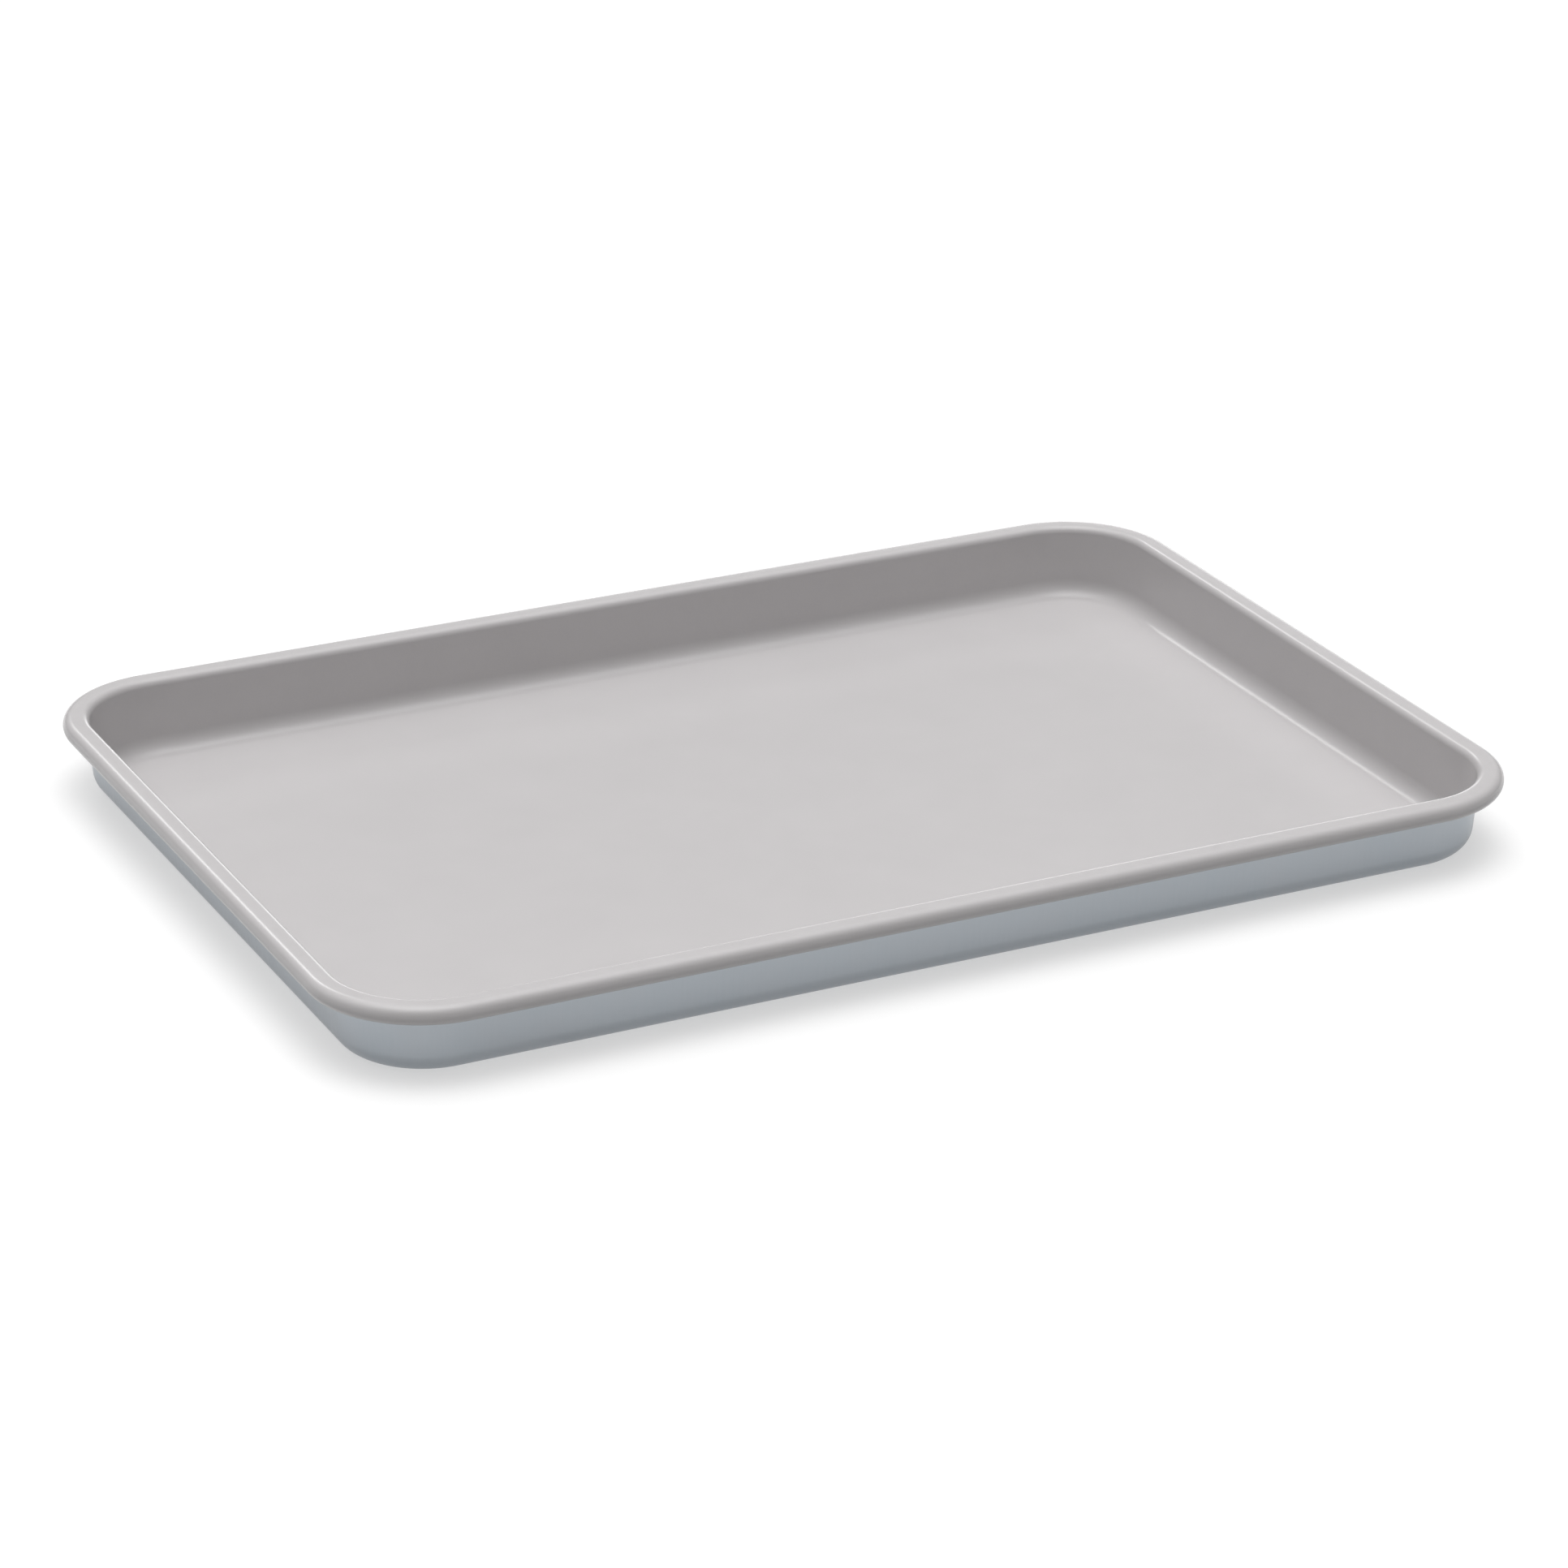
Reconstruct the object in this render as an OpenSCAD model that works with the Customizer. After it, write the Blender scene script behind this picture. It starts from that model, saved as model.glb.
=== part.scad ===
// Jelly roll pan: a shallow drawn steel pan with a release coating on its
// baking side and a rim that is curled round a wire.
// Millimetres, +Z up. The origin is the centre of the flat base, on the
// surface that the pan stands on, and X runs along the long sides.

/* [Baking space] */
// Inside length at the rim
inside_length = 393.7; // [300:0.1:460]
// Inside width at the rim
inside_width = 266.7; // [200:0.1:340]
// Depth from the top of the rim to the baking surface
depth = 25.4; // [20:0.1:50]
// Inside corner radius at the rim, seen from above
corner_radius = 29; // [20:0.5:45]
// Radius of the cove between the baking surface and the walls
cove_radius = 6.5; // [3:0.1:9]
// Lean of the walls away from upright, in degrees
wall_lean = 4.3; // [2:0.1:10]

/* [Sheet] */
// Thickness of the steel sheet
sheet = 0.8; // [0.6:0.05:1.2]
// Thickness of the release coating
coating = 0.2; // [0.2:0.05:0.4]

/* [Rim] */
// Radius of the lip where a wall turns out into the flange
lip_radius = 2.6; // [1.8:0.1:3.2]
// Gap between the curl and the wall behind it
curl_gap = 1.6; // [0.3:0.1:2]
// How far the curl turns round the wire, in degrees from the flange
curl_turn = 235; // [200:5:260]
// Diameter of the wire inside the curl
wire_diameter = 4; // [3:0.1:5]
// Clearance between the wire and the curl, all round
wire_clearance = 0.1; // [0.05:0.05:0.3]
// Gap between the two ends of the wire, where they meet
wire_joint = 1.5; // [0.5:0.1:5]

/* [Hidden] */
$fn = 96;

// Sheet and coating together
wall = sheet + coating;
rim_top = depth + wall;
// A bend has a point at least this often, in degrees
bend_step = 10;
// Radius of the curl, outside its coating
curl_radius = wire_diameter / 2 + wire_clearance + wall;

// The section of the pan is drawn in u and z: u runs outwards from the
// upright axis of a corner, and z upwards from the base. Its outline follows
// the baking surface: floor, cove, wall, lip, flange and curl.
function wall_u(z) = corner_radius - (rim_top - z) * tan(wall_lean);
// Point on the section at height z, a given distance outside the wall's face
function beside_wall(z, distance) = [wall_u(z) + distance / cos(wall_lean), z];
cove_centre = beside_wall(wall + cove_radius, -cove_radius);
lip_centre = beside_wall(rim_top - lip_radius, lip_radius);
curl_centre = beside_wall(rim_top - curl_radius, wall + curl_gap + curl_radius);

// Half the distance between corner axes, along X and along Y
half_x = inside_length / 2 - corner_radius;
half_y = inside_width / 2 - corner_radius;

// Points along a bend of the sheet, from one angle to another
function bend(centre, radius, from, to) =
    let (steps = ceil(abs(to - from) / bend_step))
        [
            for (i = [0 : steps])
                let (angle = from + (to - from) * i / steps)
                    centre + radius * [cos(angle), sin(angle)]
        ];

// Outline of the section a given depth below the baking surface, from a
// corner's axis to the edge of the curl
function outline(below) = concat(
    [[0, wall - below]],
    bend(cove_centre, cove_radius + below, -90, -wall_lean),
    bend(lip_centre, lip_radius - below, 180 - wall_lean, 90),
    bend(curl_centre, curl_radius - below, 90, 90 - curl_turn)
);

function backwards(points) = [for (i = [len(points) - 1 : -1 : 0]) points[i]];

// The section between two depths below the baking surface
module section(near, far) {
    polygon(concat(outline(near), backwards(outline(far))));
}

// Carries a section along a straight side, from one place on it to another
module run(from, to) {
    rotate([90, 0, 0])
        translate([0, 0, -to])
            linear_extrude(height = to - from)
                children();
}

// Carries a section round the whole pan, but for an open joint of a given
// width at the middle of the back side
module around(joint = 0) {
    for (turn = [0, 180]) {
        rotate(turn) translate([half_x, 0, 0]) run(-half_y, half_y) children();
        rotate(turn) translate([half_x, half_y, 0]) rotate_extrude(angle = 90) children();
        rotate(turn) translate([-half_x, half_y, 0]) rotate(90) rotate_extrude(angle = 90) children();
    }
    rotate(-90) translate([half_y, 0, 0]) run(-half_x, half_x) children();
    rotate(90) translate([half_y, 0, 0]) {
        run(-half_x, -joint / 2) children();
        run(joint / 2, half_x) children();
    }
}

// A layer of the drawn pan: everything between two depths below the baking
// surface, from the middle of the floor to the edge of the curl
module layer(near, far) {
    translate([-half_x, -half_y, wall - far])
        cube([2 * half_x, 2 * half_y, far - near]);
    around() section(near, far);
}

// Drawn and curled steel sheet, with its sheared edge inside the curl
module steel_body() {
    color([0.40, 0.44, 0.46]) layer(coating, wall);
}

// Release coating, bonded to the sheet's baking side and over the curl
module nonstick_lining() {
    color([0.60, 0.59, 0.59]) layer(0, coating);
}

// Wire that stiffens the rim: one rod bent round the pan inside the curl,
// its ends meeting at the middle of the back side
module rim_wire() {
    color([0.45, 0.46, 0.47])
        around(wire_joint)
            translate(curl_centre)
                circle(d = wire_diameter);
}

steel_body();
nonstick_lining();
rim_wire();
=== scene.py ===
"""A jelly roll pan: a shallow drawn steel pan with a release coating on its baking side and a rim that is
curled round a wire. Metres, +Z up, with the origin at the centre of the base that the pan stands on."""

import math

import bmesh
import bpy
from bpy.props import FloatProperty, FloatVectorProperty, IntProperty, PointerProperty
from mathutils import Matrix, Vector


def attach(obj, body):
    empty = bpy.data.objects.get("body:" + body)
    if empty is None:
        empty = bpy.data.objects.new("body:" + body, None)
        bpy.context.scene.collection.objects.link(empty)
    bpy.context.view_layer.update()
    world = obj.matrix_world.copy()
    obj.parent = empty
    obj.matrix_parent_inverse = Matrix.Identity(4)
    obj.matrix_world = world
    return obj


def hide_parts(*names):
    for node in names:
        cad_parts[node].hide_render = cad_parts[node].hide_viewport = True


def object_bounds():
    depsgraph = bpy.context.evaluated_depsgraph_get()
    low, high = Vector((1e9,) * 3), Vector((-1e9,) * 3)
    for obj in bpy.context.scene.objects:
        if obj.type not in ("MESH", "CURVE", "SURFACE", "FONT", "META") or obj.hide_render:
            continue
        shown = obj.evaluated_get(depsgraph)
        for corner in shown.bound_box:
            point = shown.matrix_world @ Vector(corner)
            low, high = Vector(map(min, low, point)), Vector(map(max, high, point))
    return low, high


bl_info = {
    "name": "Jelly Roll Pan",
    "version": (1, 0, 0),
    "blender": (4, 5, 0),
    "location": "View3D > Sidebar > Pan",
    "description": "Makes a jelly roll pan with its finishes, on a studio floor",
    "category": "Add Mesh",
}

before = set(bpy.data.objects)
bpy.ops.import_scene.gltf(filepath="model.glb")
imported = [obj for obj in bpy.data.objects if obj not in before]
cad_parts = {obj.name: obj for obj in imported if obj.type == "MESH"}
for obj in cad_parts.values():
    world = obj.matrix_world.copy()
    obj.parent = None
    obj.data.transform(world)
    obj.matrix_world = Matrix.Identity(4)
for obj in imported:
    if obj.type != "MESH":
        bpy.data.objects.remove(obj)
CAD_LOW, CAD_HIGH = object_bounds()
MERGE_DISTANCE = 1e-6
SHARP_ANGLE = math.radians(30)
# Refractive index of the coating, a chosen value: a higher one makes the floor lighter from above
COATING_IOR = 1.38
# Patterns on the coating: sizes in metres, shades as a factor on its colour
CLOUD_SIZE = 0.03
CLOUD_SHADES = (0.985, 1.015)
GRAIN_SIZE = 0.0005
GRAIN_SHADE = 1.04
PEEL_SIZE = 0.0007
PEEL_DEPTH = 0.000004
GLOSS_PATCH_SIZE = 0.008
GLOSS_CHANGE = 0.02
# The rub on the rim starts this far below its top, and is full nearly at the top
RUB_START = 0.0012
RUB_FULL = 0.0001
RUB_SIZE = 0.004
RUB_SHADE = 1.06
RUB_POLISH = 0.01
# Patterns on the steel. A small number in a stretch makes marks long along that axis.
ROLLED_SIZE = 0.0006
ROLLED_STRETCH = (0.02, 1, 1)
DRAWN_SIZE = 0.0012
DRAWN_STRETCH = (1, 1, 0.04)
DRAWN_FROM_HEIGHT = 0.001
DRAWN_FULL_HEIGHT = 0.006
MARK_SHADE = 1.10
MARK_DEPTH = 0.000004
MARK_GLOSS_CHANGE = 0.04
BLOOM_SIZE = 0.014
BLOOM_SHADE = 1.03
BLOOM_DULLING = 0.03
BLUISH = (0.98, 1.0, 1.01)
# Patterns on the wire
SPECK_SIZE = 0.0008
SPECK_SHADES = (0.94, 1.06)
SPECK_ROUGHNESS = (0.28, 0.42)
SPECK_DEPTH = 0.000005
# Most of a noise texture's values lie between these
NOISE_RANGE = (0.3, 0.7)
# A mix node's two inputs and its output, for numbers and for colours
MIX_SOCKETS = {"FLOAT": (2, 3, 0), "RGBA": (6, 7, 2)}
SENSOR_WIDTH_MM = 36
MM_PER_M = 1000
# The camera sees from this part of its distance to this many floor sizes
CLIP_START = 1 / 20
CLIP_END = 2
WIRE_ROUNDNESS = 6
# Keeps the floor clear of the pan's base, so that the two faces don't mix
FLOOR_DROP = 0.00005


class PanSizes(bpy.types.PropertyGroup):
    """Sizes of the pan. Its length, width and height come from the frame."""

    corner_radius: FloatProperty(
        name="Corner radius",
        description="Inside corner radius at the rim, seen from above",
        default=0.029,
        unit="LENGTH",
    )
    cove_radius: FloatProperty(
        name="Cove radius",
        description="Radius of the cove between the baking surface and the walls",
        default=0.0065,
        unit="LENGTH",
    )
    wall_lean: FloatProperty(
        name="Wall lean",
        description="Lean of the walls away from upright",
        default=math.radians(4.3),
        unit="ROTATION",
    )
    sheet: FloatProperty(
        name="Sheet",
        description="Thickness of the steel sheet",
        default=0.0008,
        unit="LENGTH",
    )
    coating: FloatProperty(
        name="Coating",
        description="Thickness of the release coating",
        default=0.0002,
        unit="LENGTH",
    )
    lip_radius: FloatProperty(
        name="Lip radius",
        description="Radius of the lip where a wall turns out into the flange",
        default=0.0026,
        unit="LENGTH",
    )
    curl_gap: FloatProperty(
        name="Curl gap",
        description="Gap between the curl and the wall behind it",
        default=0.0016,
        unit="LENGTH",
    )
    curl_turn: FloatProperty(
        name="Curl turn",
        description="How far the curl turns round the wire, from the flange",
        default=math.radians(235),
        unit="ROTATION",
    )
    wire_diameter: FloatProperty(
        name="Wire diameter",
        description="Diameter of the wire inside the curl",
        default=0.004,
        unit="LENGTH",
    )
    wire_clearance: FloatProperty(
        name="Wire clearance",
        description="Clearance between the wire and the curl, all round",
        default=0.0001,
        unit="LENGTH",
    )
    wire_joint: FloatProperty(
        name="Wire joint",
        description="Gap between the two ends of the wire",
        default=0.0015,
        unit="LENGTH",
    )
    bend_step: FloatProperty(
        name="Bend step",
        description="Turn of one face across a bend of the sheet",
        default=math.radians(5),
        unit="ROTATION",
    )
    corner_steps: IntProperty(
        name="Corner steps",
        description="Faces round each corner of the pan",
        default=32,
        min=4,
    )


class PanFinish(bpy.types.PropertyGroup):
    """Colours and gloss of the pan's surfaces."""

    coating_color: FloatVectorProperty(
        name="Coating",
        description="Colour of the release coating",
        subtype="COLOR",
        size=3,
        min=0,
        max=1,
        default=(0.592, 0.575, 0.579),
    )
    coating_roughness: FloatProperty(
        name="Coating roughness",
        description="Roughness of the release coating",
        subtype="FACTOR",
        default=0.18,
    )
    steel_color: FloatVectorProperty(
        name="Steel",
        description="Colour of the aluminised steel",
        subtype="COLOR",
        size=3,
        min=0,
        max=1,
        default=(0.352, 0.376, 0.402),
    )
    steel_roughness: FloatProperty(
        name="Steel roughness",
        description="Roughness of the aluminised steel",
        subtype="FACTOR",
        default=0.33,
    )
    wire_color: FloatVectorProperty(
        name="Wire",
        description="Colour of the zinc plated wire",
        subtype="COLOR",
        size=3,
        min=0,
        max=1,
        default=(0.45, 0.46, 0.47),
    )


class StudioSetting(bpy.types.PropertyGroup):
    """Place of the camera and strength of the light."""

    camera_azimuth: FloatProperty(
        name="Camera azimuth",
        description="Direction that the camera looks from, turned from the front",
        default=math.radians(-26.46),
        unit="ROTATION",
    )
    camera_elevation: FloatProperty(
        name="Camera elevation",
        description="Height of the camera above the horizon",
        default=math.radians(23.27),
        unit="ROTATION",
    )
    camera_roll: FloatProperty(
        name="Camera roll",
        description="Turn of the camera about its own view",
        default=math.radians(0.42),
        unit="ROTATION",
    )
    camera_distance: FloatProperty(
        name="Camera distance",
        description="Distance from the camera to the pan's base",
        default=1.752,
        unit="LENGTH",
    )
    camera_right: FloatProperty(
        name="Camera right",
        description="How far the view's axis passes to the right of the pan's base centre",
        default=0.0026,
        unit="LENGTH",
    )
    camera_up: FloatProperty(
        name="Camera up",
        description="How far the view's axis passes above the pan's base centre",
        default=0.0092,
        unit="LENGTH",
    )
    camera_lens: FloatProperty(
        name="Camera lens",
        description="Focal length of the lens, for a 36 mm wide frame",
        default=0.12294,
        unit="LENGTH",
    )
    floor_size: FloatProperty(
        name="Floor size",
        description="Length of each side of the studio floor",
        default=60,
        unit="LENGTH",
    )
    floor_glow: FloatProperty(
        name="Floor glow",
        description="How much brighter the floor looks than the light on it makes it",
        default=0.53,
    )
    floor_color: FloatProperty(
        name="Floor colour",
        description="How much of the light on it the floor gives back",
        subtype="FACTOR",
        default=0.5,
    )
    top_strength: FloatProperty(
        name="Top strength",
        description="Strength of the light overhead",
        default=5.0,
    )
    top_width: FloatProperty(
        name="Top width",
        description="Angle at which the light overhead has fallen to half",
        default=math.radians(21),
        unit="ROTATION",
    )
    top_azimuth: FloatProperty(
        name="Top azimuth",
        description="Direction that the overhead light leans to, turned from +Y towards +X",
        default=math.radians(207),
        unit="ROTATION",
    )
    top_elevation: FloatProperty(
        name="Top elevation",
        description="Height of the overhead light above the horizon",
        default=math.radians(88),
        unit="ROTATION",
    )
    back_strength: FloatProperty(
        name="Back strength",
        description="Strength of the light behind the pan",
        default=0.6,
    )
    back_width: FloatProperty(
        name="Back width",
        description="Angle at which the light behind the pan has fallen to half",
        default=math.radians(18),
        unit="ROTATION",
    )
    back_azimuth: FloatProperty(
        name="Back azimuth",
        description="Direction of the light behind the pan, turned from +Y towards +X",
        default=math.radians(27),
        unit="ROTATION",
    )
    back_elevation: FloatProperty(
        name="Back elevation",
        description="Height of the light behind the pan above the horizon",
        default=math.radians(58),
        unit="ROTATION",
    )
    left_strength: FloatProperty(
        name="Left strength",
        description="Strength of the light to the left of the pan",
        default=0.5,
    )
    left_width: FloatProperty(
        name="Left width",
        description="Angle at which the light to the left of the pan has fallen to half",
        default=math.radians(23),
        unit="ROTATION",
    )
    left_azimuth: FloatProperty(
        name="Left azimuth",
        description="Direction of the light to the left of the pan, turned from +Y towards +X",
        default=math.radians(-60),
        unit="ROTATION",
    )
    left_elevation: FloatProperty(
        name="Left elevation",
        description="Height of the light to the left of the pan above the horizon",
        default=math.radians(55),
        unit="ROTATION",
    )
    low_strength: FloatProperty(
        name="Low strength",
        description="Strength of the narrow low light behind the pan, which shows along its bends",
        default=6.0,
    )
    low_width: FloatProperty(
        name="Low width",
        description="Angle at which the low light has fallen to half",
        default=math.radians(6),
        unit="ROTATION",
    )
    low_azimuth: FloatProperty(
        name="Low azimuth",
        description="Direction of the low light, turned from +Y towards +X",
        default=math.radians(5),
        unit="ROTATION",
    )
    low_elevation: FloatProperty(
        name="Low elevation",
        description="Height of the low light above the horizon",
        default=math.radians(34),
        unit="ROTATION",
    )
    far_strength: FloatProperty(
        name="Far strength",
        description="Strength of the narrow light behind the pan, just above the horizon",
        default=3.0,
    )
    far_width: FloatProperty(
        name="Far width",
        description="Angle at which the far light has fallen to half",
        default=math.radians(7),
        unit="ROTATION",
    )
    far_azimuth: FloatProperty(
        name="Far azimuth",
        description="Direction of the far light, turned from +Y towards +X",
        default=math.radians(30),
        unit="ROTATION",
    )
    far_elevation: FloatProperty(
        name="Far elevation",
        description="Height of the far light above the horizon",
        default=math.radians(6),
        unit="ROTATION",
    )
    room_light: FloatProperty(
        name="Room light",
        description="Light from everywhere else",
        default=0.05,
    )


def polar(centre, radius, angle):
    """The point at an angle and a distance from a centre, in the plane of the section."""
    return (centre[0] + radius * math.cos(angle), centre[1] + radius * math.sin(angle))


class Section:
    """The pan's section in u and z: u runs outwards from the upright axis of a corner, z upwards."""

    def __init__(self, sizes):
        self.sizes = sizes
        self.wall = sizes.sheet + sizes.coating
        self.rim_top = CAD_HIGH.z
        self.curl_radius = sizes.wire_diameter / 2 + sizes.wire_clearance + self.wall
        self.cove = self.beside_wall(self.wall + sizes.cove_radius, -sizes.cove_radius)
        self.lip = self.beside_wall(self.rim_top - sizes.lip_radius, sizes.lip_radius)
        curl_from_wall = self.wall + sizes.curl_gap + self.curl_radius
        self.curl = self.beside_wall(self.rim_top - self.curl_radius, curl_from_wall)
        outside_radius = self.curl[0] + self.curl_radius
        self.half_x = CAD_HIGH.x - outside_radius
        self.half_y = CAD_HIGH.y - outside_radius

    def beside_wall(self, z, distance):
        """The point at height z, a given distance outside the wall's baking side."""
        lean = self.sizes.wall_lean
        on_wall = self.sizes.corner_radius - (self.rim_top - z) * math.tan(lean)
        return (on_wall + distance / math.cos(lean), z)

    def bend(self, centre, radius, start, end):
        """Points along a bend of the sheet, from one angle to another."""
        steps = round(abs(end - start) / self.sizes.bend_step)
        return [polar(centre, radius, start + (end - start) * i / steps) for i in range(steps + 1)]

    def outline(self, below):
        """The outline a given depth below the baking surface, from a corner's axis to the curl's edge."""
        sizes = self.sizes
        top = math.pi / 2
        return [
            (0, self.wall - below),
            *self.bend(self.cove, sizes.cove_radius + below, -top, -sizes.wall_lean),
            *self.bend(self.lip, sizes.lip_radius - below, math.pi - sizes.wall_lean, top),
            *self.bend(self.curl, self.curl_radius - below, top, top - sizes.curl_turn),
        ]


def add_node(tree, kind, **settings):
    """Adds a node to a tree and sets its properties."""
    node = tree.nodes.new(kind)
    for name, value in settings.items():
        setattr(node, name, value)
    return node


def put(tree, value, socket):
    """Links an output to a socket, or sets a plain value on it."""
    if isinstance(value, bpy.types.NodeSocket):
        tree.links.new(value, socket)
    else:
        socket.default_value = value


def calculate(tree, operation, a, b):
    """The result of a math node on two sockets or numbers."""
    node = add_node(tree, "ShaderNodeMath", operation=operation)
    put(tree, a, node.inputs[0])
    put(tree, b, node.inputs[1])
    return node.outputs[0]


def combine(tree, operation, a, b=(0, 0, 0)):
    """The result of a vector math node on two sockets or vectors."""
    node = add_node(tree, "ShaderNodeVectorMath", operation=operation)
    put(tree, a, node.inputs[0])
    put(tree, b, node.inputs[1])
    return node.outputs[0]


def passed(tree, kind, geometry, inputs=None, **settings):
    """Passes geometry through a node with these inputs, and returns what comes out."""
    node = add_node(tree, kind, **settings)
    put(tree, geometry, node.inputs[0])
    for name, value in (inputs or {}).items():
        put(tree, value, node.inputs[name])
    return node.outputs[0]


def floor_panel(tree, sides, height):
    """The flat rectangle between the four corner axes, at a given height, facing up."""
    panel = add_node(tree, "GeometryNodeMeshGrid")
    put(tree, sides[0], panel.inputs["Size X"])
    put(tree, sides[1], panel.inputs["Size Y"])
    panel.inputs["Vertices X"].default_value = 2
    panel.inputs["Vertices Y"].default_value = 2
    place = add_node(tree, "ShaderNodeCombineXYZ")
    put(tree, height, place.inputs["Z"])
    return passed(tree, "GeometryNodeTransform", panel.outputs["Mesh"], {"Translation": place.outputs[0]})


def from_corner_axis(tree, half_length, half_width):
    """The direction from the nearest point of the flat rectangle between the corner axes."""
    corner = add_node(tree, "ShaderNodeCombineXYZ")
    put(tree, half_length, corner.inputs["X"])
    put(tree, half_width, corner.inputs["Y"])
    corner = corner.outputs[0]
    opposite = combine(tree, "MULTIPLY", corner, (-1, -1, -1))
    here = add_node(tree, "GeometryNodeInputPosition").outputs[0]
    nearest = combine(tree, "MAXIMUM", combine(tree, "MINIMUM", here, corner), opposite)
    return combine(tree, "NORMALIZE", combine(tree, "SUBTRACT", here, nearest))


def carried_section_tree():
    """Geometry nodes that carry a section round the pan's sides and corners, and close its floor.

    The section is a line of edges. Its X is the distance outwards from the path, its Y the height."""
    tree = bpy.data.node_groups.new("Carried section", "GeometryNodeTree")
    interface = tree.interface
    interface.new_socket("Pan", in_out="OUTPUT", socket_type="NodeSocketGeometry")
    interface.new_socket("Section", in_out="INPUT", socket_type="NodeSocketGeometry")
    lengths = ("Half length", "Half width", "Corner radius", "Floor top", "Floor underside")
    for name in (*lengths, "Sharp angle"):
        interface.new_socket(name, in_out="INPUT", socket_type="NodeSocketFloat")
    interface.new_socket("Corner steps", in_out="INPUT", socket_type="NodeSocketInt")
    interface.new_socket("Finish", in_out="INPUT", socket_type="NodeSocketMaterial")
    given = add_node(tree, "NodeGroupInput").outputs

    sides = [calculate(tree, "MULTIPLY", given[name], 2) for name in ("Half length", "Half width")]
    both_corners = calculate(tree, "MULTIPLY", given["Corner radius"], 2)
    rectangle = add_node(tree, "GeometryNodeCurvePrimitiveQuadrilateral")
    for side, socket in zip(sides, ("Width", "Height")):
        put(tree, calculate(tree, "ADD", side, both_corners), rectangle.inputs[socket])
    corners = {"Count": given["Corner steps"], "Radius": given["Corner radius"]}
    path = passed(tree, "GeometryNodeFilletCurve", rectangle.outputs[0], corners, mode="POLY")
    outwards = from_corner_axis(tree, given["Half length"], given["Half width"])
    path = passed(tree, "GeometryNodeSetCurveNormal", path, {"Normal": outwards}, mode="FREE")
    # A path that lies flat carries a section with its Y downwards
    upright = passed(tree, "GeometryNodeTransform", given["Section"], {"Rotation": (math.pi, 0, 0)})
    section = passed(tree, "GeometryNodeMeshToCurve", upright)
    walls = passed(tree, "GeometryNodeCurveToMesh", path, {"Profile Curve": section})

    floor_top = floor_panel(tree, sides, given["Floor top"])
    underside = floor_panel(tree, sides, given["Floor underside"])
    underside = passed(tree, "GeometryNodeFlipFaces", underside)
    joined = add_node(tree, "GeometryNodeJoinGeometry")
    for part in (underside, floor_top, walls):
        tree.links.new(part, joined.inputs[0])
    pan = passed(tree, "GeometryNodeMergeByDistance", joined.outputs[0], {"Distance": MERGE_DISTANCE})
    sharp = add_node(tree, "FunctionNodeCompare")
    put(tree, add_node(tree, "GeometryNodeInputMeshEdgeAngle").outputs["Unsigned Angle"], sharp.inputs["A"])
    put(tree, given["Sharp angle"], sharp.inputs["B"])
    pan = passed(tree, "GeometryNodeSetShadeSmooth", pan, {"Shade Smooth": True})
    edges = {"Selection": sharp.outputs[0], "Shade Smooth": False}
    pan = passed(tree, "GeometryNodeSetShadeSmooth", pan, edges, domain="EDGE")
    pan = passed(tree, "GeometryNodeRealizeInstances", pan)
    pan = passed(tree, "GeometryNodeSetMaterial", pan, {"Material": given["Finish"]})
    tree.links.new(pan, add_node(tree, "NodeGroupOutput").inputs[0])
    return tree


def new_object(name, data):
    """Adds an object to the scene, in place of an older one of the same name."""
    old = bpy.data.objects.get(name)
    if old is not None:
        bpy.data.objects.remove(old)
    made = bpy.data.objects.new(name, data)
    bpy.context.scene.collection.objects.link(made)
    return made


def made_plain(piece, name):
    """Turns what a piece evaluates to into a plain closed mesh."""
    graph = bpy.context.evaluated_depsgraph_get()
    mesh = bpy.data.meshes.new_from_object(piece.evaluated_get(graph))
    mesh.name = name
    if mesh.materials[0] is None:
        mesh.materials.pop(index=0)
    work = bmesh.new()
    work.from_mesh(mesh)
    bmesh.ops.remove_doubles(work, verts=work.verts, dist=MERGE_DISTANCE)
    work.to_mesh(mesh)
    work.free()
    bpy.data.objects.remove(piece)
    return new_object(name, mesh)


def set_inputs(modifier, values):
    """Sets a geometry nodes modifier's inputs by the names of their sockets."""
    for item in modifier.node_group.interface.items_tree:
        if item.name in values:
            modifier[item.identifier] = values[item.name]


def carried_layer(name, near, far, section, finish):
    """A layer of the drawn pan between two depths below the baking surface."""
    sizes = section.sizes
    reach = sizes.corner_radius
    points = [*section.outline(near), *reversed(section.outline(far))]
    mesh = bpy.data.meshes.new(name)
    edges = [(i, i + 1) for i in range(len(points) - 1)]
    mesh.from_pydata([(u - reach, z, 0) for u, z in points], edges, [])
    piece = new_object(name, mesh)
    modifier = piece.modifiers.new("Carried section", "NODES")
    modifier.node_group = carried_section_tree()
    values = {
        "Half length": section.half_x,
        "Half width": section.half_y,
        "Corner radius": reach,
        "Floor top": section.wall - near,
        "Floor underside": section.wall - far,
        "Sharp angle": SHARP_ANGLE,
        "Corner steps": sizes.corner_steps,
        "Finish": finish,
    }
    set_inputs(modifier, values)
    return made_plain(piece, name)


def principled(name):
    """A new material with its shader and its tree."""
    material = bpy.data.materials.new(name)
    material.use_nodes = True
    return material, material.node_tree.nodes["Principled BSDF"], material.node_tree


def on_piece(tree, stretch=(1, 1, 1)):
    """The place on a piece in metres. A small number makes a pattern long along that axis."""
    mapping = add_node(tree, "ShaderNodeMapping")
    put(tree, add_node(tree, "ShaderNodeTexCoord").outputs["Object"], mapping.inputs["Vector"])
    mapping.inputs["Scale"].default_value = stretch
    return mapping.outputs[0]


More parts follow.
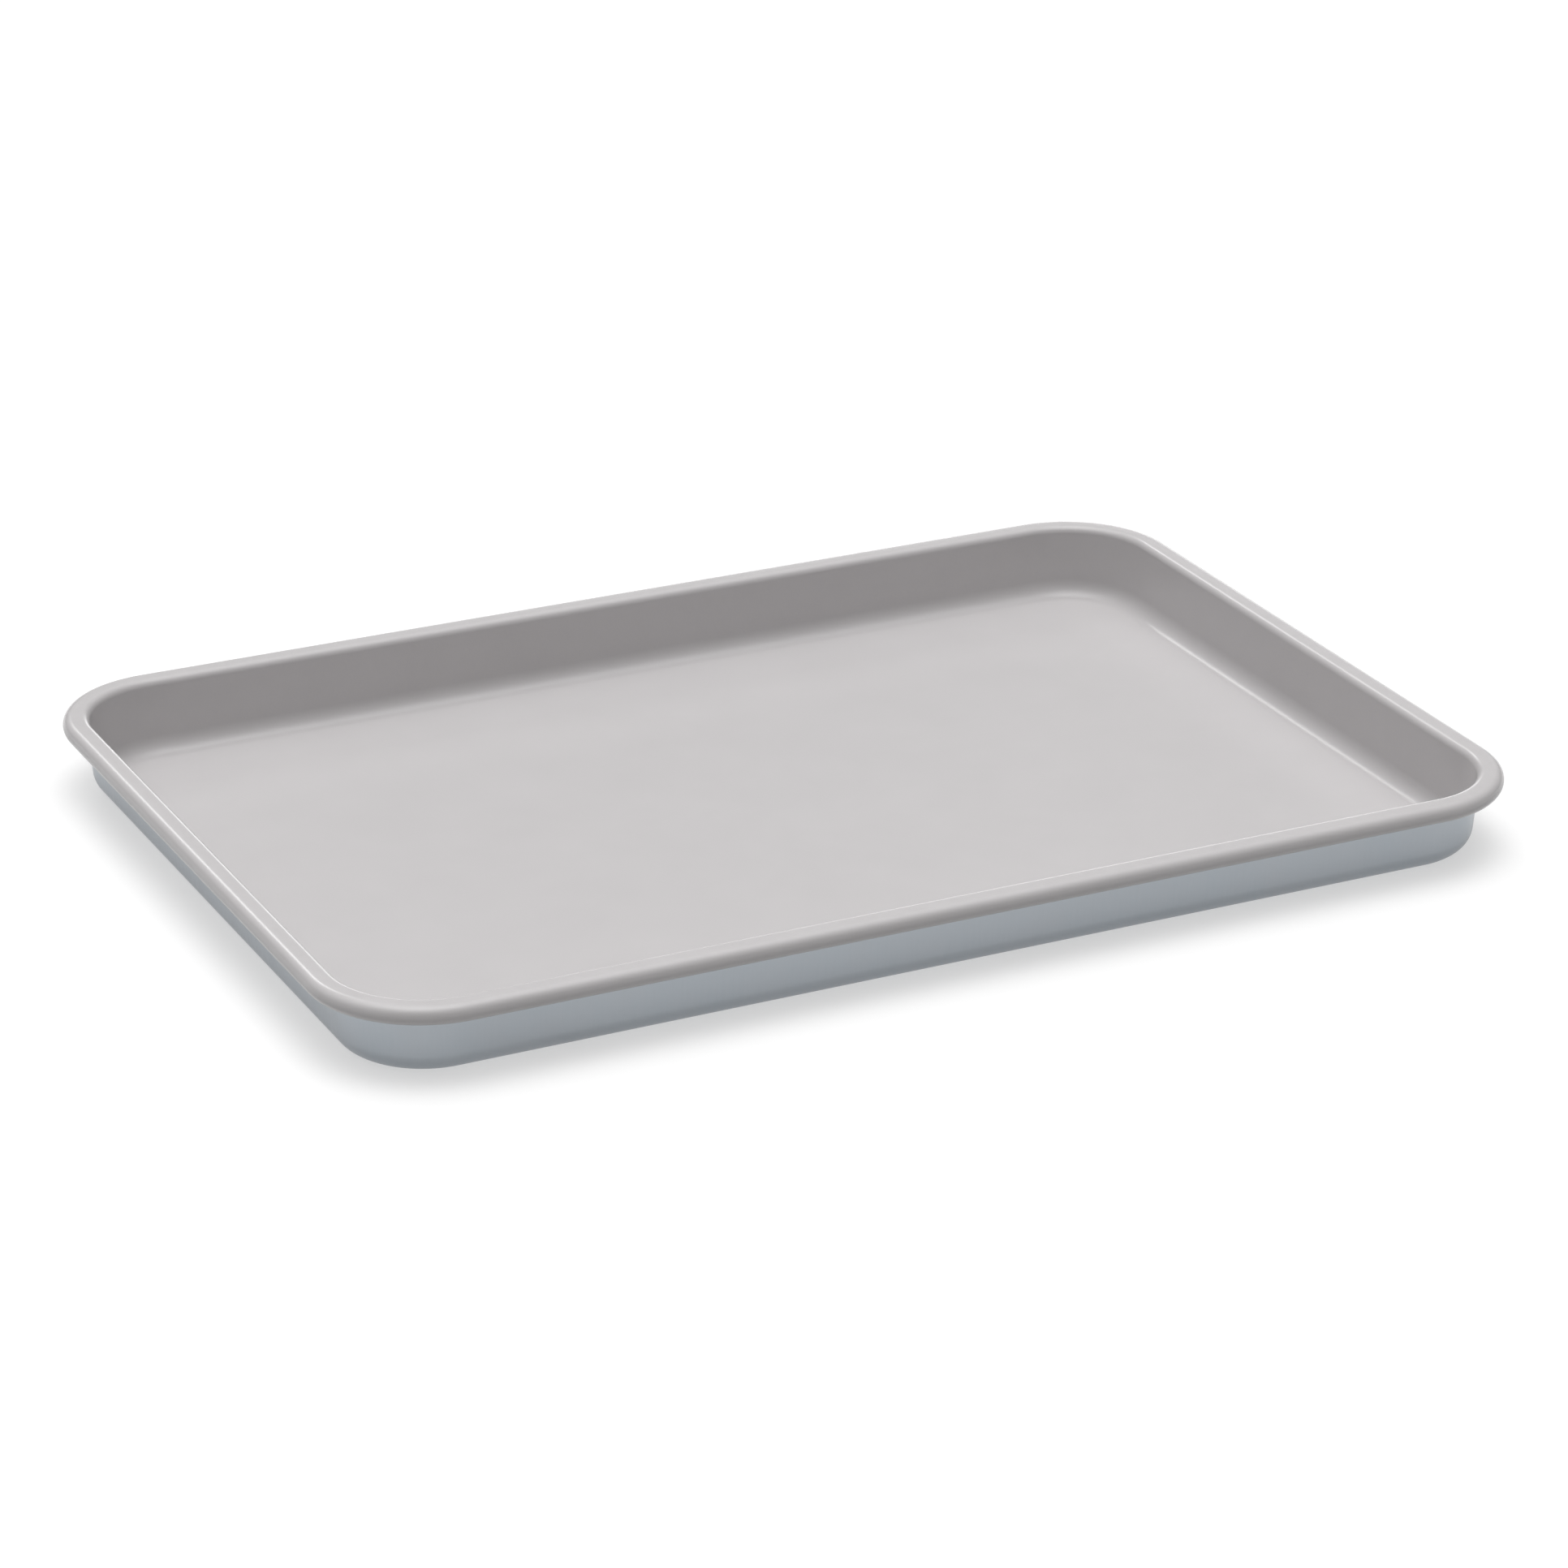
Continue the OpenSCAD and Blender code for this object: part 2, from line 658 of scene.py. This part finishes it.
def height_on_piece(tree):
    """The height on a piece above the base, in metres."""
    split = add_node(tree, "ShaderNodeSeparateXYZ")
    put(tree, on_piece(tree), split.inputs[0])
    return split.outputs["Z"]


def mottle(tree, place, size, detail=2.0):
    """Soft random patches of about a given size in metres, from 0 to 1."""
    noise = add_node(tree, "ShaderNodeTexNoise")
    put(tree, place, noise.inputs["Vector"])
    noise.inputs["Scale"].default_value = 1 / size
    noise.inputs["Detail"].default_value = detail
    return spread(tree, noise.outputs["Fac"], *NOISE_RANGE, 0, 1)


def spread(tree, value, low, high, to_low, to_high):
    """Carries a value from one range to another, and keeps it inside."""
    node = add_node(tree, "ShaderNodeMapRange")
    sockets = ("Value", "From Min", "From Max", "To Min", "To Max")
    for name, given in zip(sockets, (value, low, high, to_low, to_high)):
        put(tree, given, node.inputs[name])
    return node.outputs[0]


def mixed(tree, kind, factor, first, second):
    """A number or a colour between two, by a factor from 0 to 1."""
    mix = add_node(tree, "ShaderNodeMix", data_type=kind)
    first_socket, second_socket, result = MIX_SOCKETS[kind]
    put(tree, factor, mix.inputs[0])
    put(tree, first, mix.inputs[first_socket])
    put(tree, second, mix.inputs[second_socket])
    return mix.outputs[result]


def shade(color, amount):
    """A colour made lighter or darker, with its alpha."""
    return (*(min(1, part * amount) for part in color), 1)


def lightened(tree, base, factor, lighter):
    """A colour that goes halfway to a lighter one where the factor is 1."""
    return mixed(tree, "RGBA", calculate(tree, "MULTIPLY", factor, 0.5), base, lighter)


def relief(tree, height, depth):
    """A surface normal for a relief of a given depth in metres."""
    bump = add_node(tree, "ShaderNodeBump")
    bump.inputs["Strength"].default_value = 1.0
    bump.inputs["Distance"].default_value = depth
    put(tree, height, bump.inputs["Height"])
    return bump.outputs[0]


def coating_material(finish):
    """Satin release coating: fine orange peel, soft clouds of pigment and a slightly rubbed rim."""
    material, shader, tree = principled("Release coating")
    place = on_piece(tree)
    color = finish.coating_color
    dark_cloud, light_cloud = (shade(color, amount) for amount in CLOUD_SHADES)
    pigment = mixed(tree, "RGBA", mottle(tree, place, CLOUD_SIZE, 3.0), dark_cloud, light_cloud)
    pigment = lightened(tree, pigment, mottle(tree, place, GRAIN_SIZE), shade(color, GRAIN_SHADE))
    rim = CAD_HIGH.z
    on_rim = spread(tree, height_on_piece(tree), rim - RUB_START, rim - RUB_FULL, 0, 1)
    rubbed = calculate(tree, "MULTIPLY", on_rim, mottle(tree, place, RUB_SIZE, 4.0))
    put(tree, lightened(tree, pigment, rubbed, shade(color, RUB_SHADE)), shader.inputs["Base Color"])
    shader.inputs["IOR"].default_value = COATING_IOR
    rough = finish.coating_roughness
    patches = mottle(tree, place, GLOSS_PATCH_SIZE, 3.0)
    patches = spread(tree, patches, 0, 1, rough - GLOSS_CHANGE, rough + GLOSS_CHANGE)
    polish = calculate(tree, "MULTIPLY", rubbed, RUB_POLISH)
    put(tree, calculate(tree, "SUBTRACT", patches, polish), shader.inputs["Roughness"])
    put(tree, relief(tree, mottle(tree, place, PEEL_SIZE), PEEL_DEPTH), shader.inputs["Normal"])
    return material


def steel_material(finish):
    """Satin aluminised steel: rolled grain along the sheet, draw marks up the walls and a faint bloom."""
    material, shader, tree = principled("Aluminised steel")
    rolled = mottle(tree, on_piece(tree, ROLLED_STRETCH), ROLLED_SIZE, 3.0)
    drawn = mottle(tree, on_piece(tree, DRAWN_STRETCH), DRAWN_SIZE, 3.0)
    on_wall = spread(tree, height_on_piece(tree), DRAWN_FROM_HEIGHT, DRAWN_FULL_HEIGHT, 0, 1)
    marks = mixed(tree, "FLOAT", on_wall, rolled, drawn)
    bloom = mottle(tree, on_piece(tree), BLOOM_SIZE, 4.0)
    color = finish.steel_color
    bluish = (*(part * amount for part, amount in zip(color, BLUISH)), 1)
    sheet = mixed(tree, "RGBA", bloom, bluish, shade(color, BLOOM_SHADE))
    put(tree, lightened(tree, sheet, marks, shade(color, MARK_SHADE)), shader.inputs["Base Color"])
    shader.inputs["Metallic"].default_value = 1.0
    rough = finish.steel_roughness
    marked = spread(tree, marks, 0, 1, rough - MARK_GLOSS_CHANGE, rough + MARK_GLOSS_CHANGE)
    dulling = calculate(tree, "MULTIPLY", bloom, BLOOM_DULLING)
    put(tree, calculate(tree, "ADD", marked, dulling), shader.inputs["Roughness"])
    put(tree, relief(tree, marks, MARK_DEPTH), shader.inputs["Normal"])
    return material


def wire_material(finish):
    """Drawn, zinc plated wire: a dull grey with fine specks."""
    material, shader, tree = principled("Zinc plated wire")
    specks = mottle(tree, on_piece(tree), SPECK_SIZE, 3.0)
    dark_speck, light_speck = (shade(finish.wire_color, amount) for amount in SPECK_SHADES)
    put(tree, mixed(tree, "RGBA", specks, dark_speck, light_speck), shader.inputs["Base Color"])
    shader.inputs["Metallic"].default_value = 1.0
    put(tree, spread(tree, specks, 0, 1, *SPECK_ROUGHNESS), shader.inputs["Roughness"])
    put(tree, relief(tree, specks, SPECK_DEPTH), shader.inputs["Normal"])
    return material


class PAN_OT_steel_body(bpy.types.Operator):
    """Makes the drawn and curled steel sheet"""

    bl_idname = "pan.steel_body"
    bl_label = "Steel body"

    def execute(self, context):
        section = Section(context.scene.pan_sizes)
        finish = steel_material(context.scene.pan_finish)
        piece = carried_layer("drawn_steel_sheet", section.sizes.coating, section.wall, section, finish)
        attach(piece, "root")
        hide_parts("steel_body")
        return {"FINISHED"}


class PAN_OT_release_coating(bpy.types.Operator):
    """Makes the release coating over the baking side, the rim and the curl"""

    bl_idname = "pan.release_coating"
    bl_label = "Release coating"

    def execute(self, context):
        section = Section(context.scene.pan_sizes)
        finish = coating_material(context.scene.pan_finish)
        piece = carried_layer("release_coating", 0, section.sizes.coating, section, finish)
        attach(piece, "root")
        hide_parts("nonstick_lining")
        return {"FINISHED"}


class PAN_OT_rim_wire(bpy.types.Operator):
    """Makes the wire that the rim is curled round"""

    bl_idname = "pan.rim_wire"
    bl_label = "Rim wire"

    def execute(self, context):
        section = Section(context.scene.pan_sizes)
        sizes = section.sizes
        line = bpy.data.curves.new("stiffening_wire", "CURVE")
        line.dimensions = "3D"
        line.bevel_depth = sizes.wire_diameter / 2
        line.bevel_resolution = WIRE_ROUNDNESS
        line.use_fill_caps = True
        route = wire_route(section)
        spline = line.splines.new("POLY")
        spline.points.add(len(route) - 1)
        for point, place in zip(spline.points, route):
            point.co = (*place, 1)
        line.materials.append(wire_material(context.scene.pan_finish))
        piece = made_plain(new_object("stiffening_wire", line), "stiffening_wire")
        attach(piece, "root")
        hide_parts("rim_wire")
        return {"FINISHED"}


def wire_route(section):
    """The wire's centre line, from one end at the middle of the back side round to the other."""
    radius, height = section.curl
    back = section.half_y + radius
    end = section.sizes.wire_joint / 2
    steps = section.sizes.corner_steps
    quarter = math.pi / 2
    route = [(end, back, height)]
    corners = ((1, 1, quarter), (1, -1, 0), (-1, -1, -quarter), (-1, 1, -2 * quarter))
    for way_x, way_y, start in corners:
        axis = (way_x * section.half_x, way_y * section.half_y)
        route += [(*polar(axis, radius, start - quarter * i / steps), height) for i in range(steps + 1)]
    return [*route, (-end, back, height)]


class PAN_OT_studio(bpy.types.Operator):
    """Makes the floor, the light and the camera"""

    bl_idname = "pan.studio"
    bl_label = "Studio"

    def execute(self, context):
        studio = context.scene.pan_studio
        make_floor(studio)
        make_world(context.scene, studio)
        make_camera(context.scene, studio)
        context.scene.view_settings.view_transform = "Standard"
        return {"FINISHED"}


def make_floor(studio):
    """A wide white floor under the pan."""
    half = studio.floor_size / 2
    mesh = bpy.data.meshes.new("studio_floor")
    below = -FLOOR_DROP
    corners = [(-half, -half, below), (half, -half, below), (half, half, below), (-half, half, below)]
    mesh.from_pydata(corners, [], [(0, 1, 2, 3)])
    material, shader, tree = principled("Studio floor")
    shader.inputs["Base Color"].default_value = shade((1, 1, 1), studio.floor_color)
    shader.inputs["Roughness"].default_value = 1.0
    shader.inputs["Specular IOR Level"].default_value = 0.0
    shader.inputs["Emission Color"].default_value = (1, 1, 1, 1)
    ray = add_node(tree, "ShaderNodeLightPath").outputs
    seen = calculate(tree, "MAXIMUM", ray["Is Camera Ray"], ray["Is Glossy Ray"])
    seen = calculate(tree, "MAXIMUM", seen, ray["Is Transmission Ray"])
    put(tree, calculate(tree, "MULTIPLY", seen, studio.floor_glow), shader.inputs["Emission Strength"])
    mesh.materials.append(material)
    new_object("studio_floor", mesh)


def direction(azimuth, elevation):
    """The direction at an azimuth, turned from +Y towards +X, and a height above the horizon."""
    level = math.cos(elevation)
    return (math.sin(azimuth) * level, math.cos(azimuth) * level, math.sin(elevation))


def soft_light(tree, place, width, strength):
    """A soft round light in the world, brightest in one direction. A larger width makes it wider."""
    facing = add_node(tree, "ShaderNodeVectorMath", operation="DOT_PRODUCT")
    put(tree, add_node(tree, "ShaderNodeTexCoord").outputs["Generated"], facing.inputs[0])
    facing.inputs[1].default_value = place
    # A cosine to this power falls to half at the width
    power = math.log(0.5) / math.log(math.cos(width))
    lit = calculate(tree, "POWER", calculate(tree, "MAXIMUM", facing.outputs["Value"], 0), power)
    return calculate(tree, "MULTIPLY", lit, strength)


def make_world(scene, studio):
    """Soft light: a strong one overhead, weaker ones from behind and from the left, two narrow ones low
    behind the pan that show along its bends, and a dim studio all round."""
    world = bpy.data.worlds.new("Studio light")
    scene.world = world
    world.use_nodes = True
    tree = world.node_tree
    total = studio.room_light
    for name in ("top", "back", "left", "low", "far"):
        azimuth, elevation, width, strength = (
            getattr(studio, name + "_" + part) for part in ("azimuth", "elevation", "width", "strength")
        )
        light = soft_light(tree, direction(azimuth, elevation), width, strength)
        total = calculate(tree, "ADD", light, total)
    tree.nodes["Background"].inputs["Color"].default_value = (1, 1, 1, 1)
    put(tree, total, tree.nodes["Background"].inputs["Strength"])


def make_camera(scene, studio):
    """The camera, set back from a point beside the middle of the pan's base."""
    azimuth, elevation = studio.camera_azimuth, studio.camera_elevation
    level = math.cos(elevation)
    back = Vector((math.sin(azimuth) * level, -math.cos(azimuth) * level, math.sin(elevation)))
    right = Vector((math.cos(azimuth), math.sin(azimuth), 0))
    up = back.cross(right)
    turn = Matrix.Rotation(studio.camera_roll, 3, back)
    right, up = turn @ right, turn @ up
    place = right * studio.camera_right + up * studio.camera_up + back * studio.camera_distance
    camera = new_object("camera", bpy.data.cameras.new("camera"))
    camera.data.sensor_width = SENSOR_WIDTH_MM
    camera.data.lens = studio.camera_lens * MM_PER_M
    camera.data.clip_start = studio.camera_distance * CLIP_START
    camera.data.clip_end = studio.floor_size * CLIP_END
    rotation = Matrix((right, up, back)).transposed()
    camera.matrix_world = Matrix.Translation(place) @ rotation.to_4x4()
    scene.camera = camera


class PAN_PT_panel(bpy.types.Panel):
    """Lists the pan's sizes, finishes and pieces"""

    bl_label = "Jelly Roll Pan"
    bl_idname = "PAN_PT_panel"
    bl_space_type = "VIEW_3D"
    bl_region_type = "UI"
    bl_category = "Pan"

    def draw(self, context):
        layout = self.layout
        for group in (context.scene.pan_sizes, context.scene.pan_finish, context.scene.pan_studio):
            box = layout.box()
            for name in group.__annotations__:
                box.prop(group, name)
        for maker in MAKERS:
            layout.operator(maker.bl_idname)


MAKERS = (PAN_OT_studio, PAN_OT_steel_body, PAN_OT_release_coating, PAN_OT_rim_wire)
GROUPS = {"pan_sizes": PanSizes, "pan_finish": PanFinish, "pan_studio": StudioSetting}


def register():
    for group in GROUPS.values():
        bpy.utils.register_class(group)
    for name, group in GROUPS.items():
        setattr(bpy.types.Scene, name, PointerProperty(type=group))
    for kind in (*MAKERS, PAN_PT_panel):
        bpy.utils.register_class(kind)


def unregister():
    for kind in (PAN_PT_panel, *reversed(MAKERS)):
        bpy.utils.unregister_class(kind)
    for name, group in GROUPS.items():
        delattr(bpy.types.Scene, name)
        bpy.utils.unregister_class(group)


def main():
    register()
    for maker in MAKERS:
        group, name = maker.bl_idname.split(".")
        getattr(getattr(bpy.ops, group), name)()


if __name__ == "__main__":
    main()
